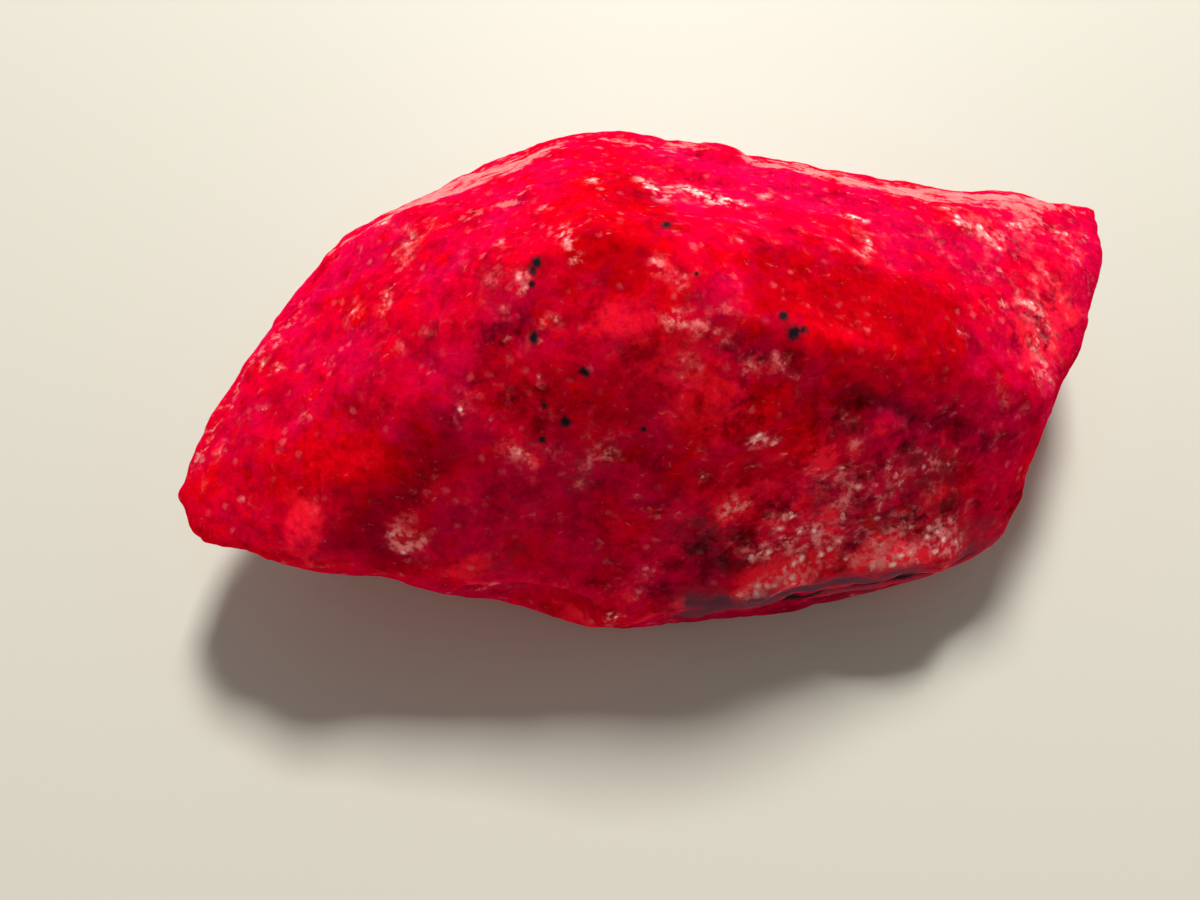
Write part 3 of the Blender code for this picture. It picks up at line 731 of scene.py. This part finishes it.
# Frost and painted sheen where 1.6 streaks + 0.5 frost-and-sheen mark is high, then stain, painted shade on
# the front wall, black specks, and painted shade in the cracks over it.
def weatheringAndShade(tree, patterns, colour, surface):
    spans = finish["spans"]
    # frost, partly painted sheen of the light from behind
    frostSheen = weighted(tree, 0.0, (patterns["streaks"], 1.6), (patterns["frostAndSheen"], 0.5))
    colour = mixed(tree, eased(tree, frostSheen, *spans["frostSheen"]), colour, finish["frostSheen"])
    stain = product(tree, patterns["stained"], eased(tree, patterns["blotch"], *spans["stain"]))
    colour = mixed(tree, stain, colour, finish["stain"])
    # painted shade on the steep front wall, grey-mauve
    wallShade = product(tree, patterns["shadedWall"], eased(tree, patterns["streaks"], *spans["wallShade"]))
    colour = mixed(tree, wallShade, colour, finish["wallShade"])
    dots = [(onStone(surface, [centre])[0].tolist(), radius) for centre, radius in finish["specks"]]
    away = nearestDot(tree, patterns["place"], dots)
    away = weighted(tree, away, (patterns["fine"], 1.8), (patterns["crumb"], 1.2))
    colour = mixed(tree, eased(tree, away, *spans["specks"]), colour, finish["black"])
    # painted shade: black along the cracks
    return mixed(tree, eased(tree, patterns["shadedCracks"], *spans["shadedCracks"]), colour, finish["black"])


# Gloss: dull stone, glassy by glint + 0.4 grain. Relief: bump of fine + 0.6 crumb.
def addGloss(tree, patterns, grain, shader):
    spans = finish["spans"]
    dull = weighted(tree, eased(tree, patterns["patches"], *spans["dull"]), (patterns["frostAndSheen"], 0.15))
    tree.links.new(dull, shader.inputs["Roughness"])
    glassy = weighted(tree, eased(tree, patterns["sparkle"], *spans["glint"]), (grain, 0.4))
    tree.links.new(glassy, shader.inputs["Coat Weight"])
    depth, strength = finish["bump"]
    height = weighted(tree, patterns["fine"], (patterns["crumb"], 0.6))
    bump = addNode(tree, "Bump", {"Height": height, "Distance": depth * mm, "Strength": strength})
    tree.links.new(bump.outputs["Normal"], shader.inputs["Normal"])


# The ruby: hue, tone with painted shade and light, sugar grains with painted glints, and weathering with
# painted sheen and shade as its colour, gloss and bump, and light scattered inside it.
def rubyMaterial(surface):
    material = bpy.data.materials.new("ruby")
    material.use_nodes = True
    tree = material.node_tree
    shader = tree.nodes["Principled BSDF"]
    patterns = stonePatterns(tree)
    colour = toned(tree, patterns, hue(tree, patterns))
    colour, grain = sugarAndGlints(tree, patterns, colour)
    tree.links.new(weatheringAndShade(tree, patterns, colour, surface), shader.inputs["Base Color"])
    addGloss(tree, patterns, grain, shader)
    shader.inputs["Coat Roughness"].default_value = finish["glassRoughness"]
    shader.inputs["Specular IOR Level"].default_value = 0.0
    shader.inputs["IOR"].default_value = finish["refraction"]
    shader.inputs["Subsurface Weight"].default_value = finish["scatter"]
    shader.inputs["Subsurface Radius"].default_value = finish["scatterColour"]
    shader.inputs["Subsurface Scale"].default_value = finish["scatterReach"] * mm
    return material


net, quads = openBox(stone["cells"])
flat = brokenLump(net)
points = roughened(flat, quads)
ruby = meshPiece("ruby_stone", points, quads)
addMarks(ruby, flat, netNormals(flat, quads))
ruby.data.materials.append(rubyMaterial(points))
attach(ruby, "root")
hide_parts(stone["node"])
print("stone:", len(points), "points,", len(quads), "quads")


# The studio: a soft key light high behind, hardly to the right, a pale room and a cream floor.
studio = {
    "cameraAt": (-5.9, -47.13, 97.38),
    "cameraTarget": (-5.9, -8.25, 14.0),
    "lens": 30,
    "sensor": 36,
    "clip": (0.001, 10),  # in metres
    "keyWay": (0.06, 0.78, 1.0),
    "keyTarget": (0, 0, 10),
    "keyDistance": 700,
    "keySize": (130, 150),
    "keyWatts": 6.7,
    "horizon": (0.8, 0.73, 0.72, 1),  # the room's light low down and overhead
    "zenith": (0.15, 0.147, 0.142, 1),
    "floorColour": (0.54, 0.52, 0.435, 1),
    "floorRoughness": 0.6,
    "floorSize": 1600,
}


# An object at a place, turned so that its own -Z points at a target: the way is target - place.
def turnedTo(obj, place, target):
    obj.location = Vector(place) * mm
    obj.rotation_euler = (Vector(target) - Vector(place)).to_track_quat("-Z", "Y").to_euler()
    bpy.context.scene.collection.objects.link(obj)


# The camera: it sees 2 atan(sensor / (2 lens)) across.
def makeCamera():
    data = bpy.data.cameras.new("camera")
    data.lens, data.sensor_width = studio["lens"], studio["sensor"]
    data.clip_start, data.clip_end = studio["clip"]
    camera = bpy.data.objects.new("camera", data)
    turnedTo(camera, studio["cameraAt"], studio["cameraTarget"])
    bpy.context.scene.camera = camera


# The key at keyDistance along keyWay, and a room whose light is eased from the horizon to the zenith by
# how far a way points up.
def makeLights():
    data = bpy.data.lights.new("key", "AREA")
    data.shape, data.energy = "RECTANGLE", studio["keyWatts"]
    data.size, data.size_y = (side * mm for side in studio["keySize"])
    place = Vector(studio["keyWay"]).normalized() * studio["keyDistance"]
    turnedTo(bpy.data.objects.new("key", data), place, studio["keyTarget"])
    world = bpy.data.worlds.new("room")
    world.use_nodes = True
    tree = world.node_tree
    way = addNode(tree, "TexCoord").outputs["Generated"]
    up = addNode(tree, "SeparateXYZ", {0: way}).outputs["Z"]
    light = mixed(tree, eased(tree, up, 0.0, 1.0), studio["horizon"], studio["zenith"])
    tree.links.new(light, tree.nodes["Background"].inputs["Color"])
    bpy.context.scene.world = world


# A square floor about the origin, half its size to each side.
def makeFloor():
    half = studio["floorSize"] * mm / 2
    corners = [(-half, -half, 0), (half, -half, 0), (half, half, 0), (-half, half, 0)]
    mesh = bpy.data.meshes.new("floor")
    mesh.from_pydata(corners, [], [(0, 1, 2, 3)])
    floor = bpy.data.objects.new("floor", mesh)
    bpy.context.scene.collection.objects.link(floor)
    paper = bpy.data.materials.new("paleSheet")
    paper.use_nodes = True
    shader = paper.node_tree.nodes["Principled BSDF"]
    shader.inputs["Base Color"].default_value = studio["floorColour"]
    shader.inputs["Roughness"].default_value = studio["floorRoughness"]
    mesh.materials.append(paper)


makeCamera()
makeLights()
makeFloor()
bpy.context.scene.view_settings.view_transform = "Standard"
print("studio ready")
